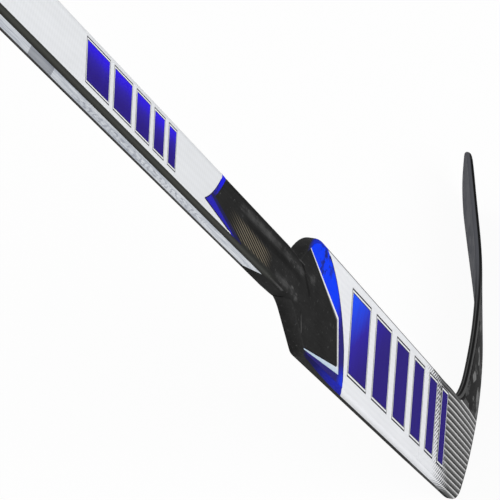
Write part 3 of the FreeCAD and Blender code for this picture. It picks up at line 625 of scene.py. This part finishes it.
def core_foam():
    paint = Paint("core_foam")
    cells = paint.cells(paint.spot, scale=0.9)
    colour = paint.mix(cells, shade(196, 178, 140), shade(222, 208, 176))
    return paint.finish(colour, 0.9, bump=cells, strength=0.3)


def tenon_wood():
    paint = Paint("tenon_wood")
    grain = paint.noise(paint.stretched(0.9, 0.9, 0.04), detail=4.0, roughness=0.6)
    colour = paint.mix(grain, shade(150, 112, 72), shade(204, 168, 120))
    rough = paint.total((grain, 0.2), 0.5)
    return paint.finish(colour, rough, bump=grain, strength=0.15)


def plain_ink(name, low, high):
    """Opaque ink with a little mottle."""
    paint = Paint(name)
    mottle = paint.noise(paint.spot, scale=0.6, detail=3.0)
    rough = paint.total((mottle, 0.15), 0.4)
    colour = paint.mix(mottle, low, high)
    return paint.finish(colour, rough, bump=mottle, strength=0.03, Specular_IOR_Level=DARK_GLOSS)


VIOLET_DEEP, VIOLET = shade(40, 24, 122), shade(46, 32, 160)
sweep_blue = blue_print(
    "film_blue_sweep", sweep_gauge, shade(38, 30, 112), shade(30, 40, 184), shade(0, 60, 252), sweep_smoke
)
band_blue = blue_print(
    "film_blue_band", band_gauge, shade(38, 32, 160), shade(36, 32, 190), shade(16, 20, 240), band_smoke
)
paddle_blue = blue_print("ink_blue_paddle", paddle_ink_gauge, VIOLET_DEEP, VIOLET, shade(24, 80, 255))
shaft_blue = blue_print("ink_blue_shaft", shaft_ink_gauge, VIOLET_DEEP, VIOLET, shade(48, 24, 246))
ink_black = plain_ink("ink_black", shade(26, 26, 30), shade(44, 44, 48))
ink_navy = plain_ink("ink_navy", shade(18, 16, 44), shade(28, 24, 64))
ink_white = plain_ink("ink_white", shade(230, 232, 235), shade(242, 243, 246))

satin = carbon_satin()
tube_carbon = shaft_carbon()
blade_face = blade_carbon()
blade_sole = sole_carbon()
rail = rail_print()
white_shaft = shaft_white()
white_paddle = paddle_white()
silver = silver_film()
stripe = stripe_film()
plastic = plug_plastic()
foam = core_foam()
wood = tenon_wood()

FINISHES = [
    (white_shaft, ("shaft_film_front", "shaft_film_back")),
    (silver, ("shaft_film_rear", "shaft_film_toe")),
    (band_blue, ("shaft_band",)),
    (tube_carbon, ("shaft_tube",)),
    (plastic, ("butt_plug",)),
    (wood, ("shoulder_tenon",)),
    (white_paddle, ("paddle_film", "heel_film")),
    (sweep_blue, ("shoulder_sweep",)),
    (stripe, ("shoulder_stripe",)),
    (foam, ("paddle_core", "blade_core", "heel_block")),
    (blade_face, ("blade_skin", "blade_top_strip")),
    (blade_sole, ("blade_sole_strip", "blade_rib")),
    (rail, ("paddle_rail",)),
    (satin, ("shoulder_sleeve", "paddle_skin", "paddle_rib")),
]
for material, starts in FINISHES:
    for name, node in nodes.items():
        if name.startswith(starts):
            node.data.materials.clear()
            node.data.materials.append(material)

# Print: thin layers of ink laid on the films

INK = 0.03                  # thickness of one layer
CELL = 6.0                  # size of a layer's facets
SINK = 0.15                 # how far a layer reaches down into its film
SEAM = 199.8                # just below the seam of the paddle's film and the heel's
CLIMB = 0.0033              # slope of the print up to the small step at that seam
OUTSIDE = 60.0              # depth from which the films are looked for
PRINTED = ("shaft", "shoulder_s", "paddle_skin", "paddle_rail", "blade_skin")
BAR_SLANT = 0.55
SHAFT_RIM = 0.55            # outlines on the shaft, as a share of those on the paddle


def film_surface():
    """Search tree of every outer piece that print can lie on."""
    points, faces = [], []
    for name, node in nodes.items():
        if "film" in name or name.startswith(PRINTED):
            start = len(points)
            points.extend(v.co for v in node.data.vertices)
            faces.extend([start + i for i in p.vertices] for p in node.data.polygons)
    return BVHTree.FromPolygons(points, faces)


SURFACE = film_surface()


def film_depth(across, up, side):
    """Depth of the outermost film at a place in millimetres, with a gentle climb to the seam's step."""
    reached = []
    for level in (up, SEAM):
        outside = place(across, side * OUTSIDE, level)
        hit = SURFACE.ray_cast(outside, Vector((0, -side, 0)))[0]
        if hit is not None:
            reached.append(side * hit.y * MM - CLIMB * abs(level - up))
    return side * max(reached)


def lay_patch(shape, spots, rows, columns, side, lift):
    """Closed thin sheet over a grid of places on the films."""
    outer, inner = [], []
    for across, up in spots:
        depth = film_depth(across, up, side)
        outer.append(shape.verts.new(place(across, depth + side * lift, up)))
        inner.append(shape.verts.new(place(across, depth - side * SINK, up)))
    count = columns + 1

    def quad(grid, row, column):
        corner = row * count + column
        return [grid[corner], grid[corner + 1], grid[corner + 1 + count], grid[corner + count]]

    for row in range(rows):
        for column in range(columns):
            shape.faces.new(quad(outer, row, column))
            shape.faces.new(reversed(quad(inner, row, column)))
    rim = list(range(columns))
    rim += [r * count + columns for r in range(rows)]
    rim += [rows * count + c for c in range(columns, 0, -1)]
    rim += [r * count for r in range(rows, 0, -1)]
    for here, there in zip(rim, rim[1:] + rim[:1]):
        shape.faces.new([outer[here], inner[here], inner[there], outer[there]])


def add_print(name, material, patches, side, layer):
    """One object of ink from (spots, rows, columns) patches."""
    shape = bmesh.new()
    for spots, rows, columns in patches:
        lay_patch(shape, spots, rows, columns, side, INK * layer)
    bmesh.ops.recalc_face_normals(shape, faces=shape.faces)
    mesh = bpy.data.meshes.new(name)
    shape.to_mesh(mesh)
    shape.free()
    mesh.materials.append(material)
    piece = bpy.data.objects.new(name, mesh)
    bpy.context.scene.collection.objects.link(piece)
    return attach(piece, "root")


def slanted_bar(low, high, reach, slant, grow):
    """Patch of a slanted bar, grown evenly on every side."""
    edge = grow * math.hypot(1.0, slant)
    start, end = reach[0] - grow, reach[1] + grow
    columns = max(2, math.ceil((end - start) / CELL))
    rows = max(2, math.ceil((high - low) / CELL))
    spots = []
    for row in range(rows + 1):
        for column in range(columns + 1):
            across = start + (end - start) * column / columns
            level = low - edge + (high - low + 2 * edge) * row / rows
            spots.append((across, level + slant * (across - reach[0])))
    return spots, rows, columns


def bars_down(top, widths, gap):
    """(low, high) of bars that follow each other down the stick."""
    spans = []
    for width in widths:
        spans.append((top - width, top))
        top -= width + gap
    return spans


def print_bars(place_name, spans, reach, slant, rim, blue, side):
    """Bars with a dark outline, a white line and a blue filling."""
    layers = [
        ("outline", ink_black, "stripe_film", 3.4 * rim),
        ("keyline", ink_white, "white_film", 2.1 * rim),
        ("border", ink_navy, "blue_film", 0.7 * rim),
        ("bars", blue, "blue_film", 0.0),
    ]
    for index, (part, material, slot, grow) in enumerate(layers):
        patches = [slanted_bar(low, high, reach, slant, grow) for low, high in spans]
        add_print(f"{place_name}_{part}_{SIDES[side]}", material, patches, side, index + 1)


def arc_points(first, middle, last, count):
    """Points of the circle through three places."""
    ox, oy, radius = circle_through(first, middle, last)
    start, bend, end = [math.atan2(y - oy, x - ox) for x, y in (first, middle, last)]
    bend = start + math.remainder(bend - start, math.tau)
    end = bend + math.remainder(end - bend, math.tau)
    turns = [start + (end - start) * i / count for i in range(count + 1)]
    return [(ox + radius * math.cos(t), oy + radius * math.sin(t)) for t in turns]


def line_patch(points, width):
    """Patch of a line of one width along points."""
    spots = []
    for index, (across, up) in enumerate(points):
        before = points[max(index - 1, 0)]
        after = points[min(index + 1, len(points) - 1)]
        run = Vector((after[0] - before[0], after[1] - before[1])).normalized()
        for reach in (-width / 2, width / 2):
            spots.append((across - run.y * reach, up + run.x * reach))
    return spots, len(points) - 1, 1


# Edge lines: the sweep's own edge as far as its bend, then the bend, and the two legs of the shaft's V
SWEEP_EDGE = ((0.0, SWEEP_START), (44.5, 536.0), (89.0, 632.0))
SWEEP_FROM, SWEEP_TO = 4.2, 84.6
BEND_FROM = SWEEP_BEND[0][0] - 1.0
SWEEP_LINE = [spot for spot in arc_points(*SWEEP_EDGE, 40) if SWEEP_FROM < spot[0] < BEND_FROM]
SWEEP_LINE += [spot for spot in arc_points(*SWEEP_BEND, 24) if spot[0] < SWEEP_TO]
SWEEP_WIDTH = 1.0
V_TIP = (35.6, 975.0)
V_TO = 61.0
V_LINE = [spot for spot in arc_points((62.7, 943.0), (45.0, 958.0), V_TIP, 16) if spot[0] < V_TO]
LEG_RUN = (-5.4, -74.0)
LEG_STEPS = 8
V_LEG = [tuple(at + run * n / LEG_STEPS for at, run in zip(V_TIP, LEG_RUN)) for n in range(LEG_STEPS + 1)]
V_WIDTH = 0.9

PADDLE_BARS = bars_down(496.0, (64, 55, 47, 39, 31, 23), 28.0)
PADDLE_REACH = (18.0, 76.0)
SHAFT_BARS = bars_down(1252.0, (46, 37, 29, 22, 16), 12.5)
SHAFT_REACH = (34.5, 55.5)

for side in SIDES:
    print_bars("paddle_print", PADDLE_BARS, PADDLE_REACH, BAR_SLANT, 1.0, paddle_blue, side)
    print_bars("shaft_print", SHAFT_BARS, SHAFT_REACH, BAR_SLANT, SHAFT_RIM, shaft_blue, side)
    lines = [line_patch(SWEEP_LINE, SWEEP_WIDTH)]
    add_print(f"paddle_print_edge_{SIDES[side]}", ink_navy, lines, side, 1)
    lines = [line_patch(V_LINE, V_WIDTH), line_patch(V_LEG, V_WIDTH)]
    add_print(f"shaft_print_edge_{SIDES[side]}", ink_navy, lines, side, 1)

# Studio

FLOOR_DROP = 0.0005         # the floor lies this far below the sole
LAMP_TARGET = (-0.3, 0.0, 0.5)
LAMP_SIZE = 3.0


def white_to_the_eye(tree, shader, share):
    """Mixes plain white into what the camera, mirrors and glass see."""
    path = tree.nodes.new("ShaderNodeLightPath")
    seen = path.outputs["Is Camera Ray"]
    for kind in ("Is Glossy Ray", "Is Transmission Ray"):
        either = tree.nodes.new("ShaderNodeMath")
        either.operation = "MAXIMUM"
        tree.links.new(seen, either.inputs[0])
        tree.links.new(path.outputs[kind], either.inputs[1])
        seen = either.outputs[0]
    scaled = tree.nodes.new("ShaderNodeMath")
    scaled.operation = "MULTIPLY"
    scaled.inputs[1].default_value = share
    tree.links.new(seen, scaled.inputs[0])
    white = tree.nodes.new("ShaderNodeEmission")
    white.inputs["Strength"].default_value = 1.0
    mixed = tree.nodes.new("ShaderNodeMixShader")
    tree.links.new(scaled.outputs[0], mixed.inputs[0])
    tree.links.new(shader, mixed.inputs[1])
    tree.links.new(white.outputs[0], mixed.inputs[2])
    return mixed.outputs[0]


def make_floor():
    size = 40.0
    mesh = bpy.data.meshes.new("floor")
    corners = [(-size, -size, 0), (size, -size, 0), (size, size, 0), (-size, size, 0)]
    mesh.from_pydata(corners, [], [(0, 1, 2, 3)])
    floor = bpy.data.objects.new("floor", mesh)
    floor.location.z = -FLOOR_DROP
    bpy.context.scene.collection.objects.link(floor)
    material = bpy.data.materials.new("floor_white")
    material.use_nodes = True
    tree = material.node_tree
    shader = tree.nodes["Principled BSDF"]
    shader.inputs["Base Color"].default_value = grey(0.9)
    shader.inputs["Roughness"].default_value = 0.9
    shader.inputs["Specular IOR Level"].default_value = 0.0
    mixed = white_to_the_eye(tree, shader.outputs[0], share=0.93)
    tree.links.new(mixed, tree.nodes["Material Output"].inputs["Surface"])
    mesh.materials.append(material)


def make_world():
    world = bpy.data.worlds.new("studio")
    bpy.context.scene.world = world
    world.use_nodes = True
    tree = world.node_tree
    background = tree.nodes["Background"]
    background.inputs["Color"].default_value = grey(1.0)
    background.inputs["Strength"].default_value = 0.42
    mixed = white_to_the_eye(tree, background.outputs[0], share=1.0)
    tree.links.new(mixed, tree.nodes["World Output"].inputs["Surface"])


def make_lamp(name, position, target, size, power):
    data = bpy.data.lights.new(name, "AREA")
    data.shape = "DISK"
    data.size = size
    data.energy = power
    lamp = bpy.data.objects.new(name, data)
    lamp.location = position
    aim = Vector(target) - Vector(position)
    lamp.rotation_euler = aim.to_track_quat("-Z", "Y").to_euler()
    lamp.visible_camera = False
    bpy.context.scene.collection.objects.link(lamp)


def make_camera():
    position = Vector((-1.88395, -0.68858, 2.58907))
    forward = Vector((0.60279, 0.278778, -0.747615))
    right = Vector((0.284446, -0.950497, -0.125086))
    above = right.cross(forward)
    data = bpy.data.cameras.new("camera")
    data.lens = 249.47
    data.sensor_width = 36.0
    data.clip_end = 200.0
    camera = bpy.data.objects.new("camera", data)
    turn = Matrix((right, above, -forward)).transposed()
    camera.matrix_world = Matrix.Translation(position) @ turn.to_4x4()
    bpy.context.scene.collection.objects.link(camera)
    bpy.context.scene.camera = camera


bpy.context.scene.view_settings.view_transform = "Standard"
make_floor()
make_world()
make_lamp("key", (-3.0, -4.0, 4.5), LAMP_TARGET, LAMP_SIZE, 220)
make_lamp("back", (3.0, 4.0, 4.0), LAMP_TARGET, LAMP_SIZE, 150)
make_camera()
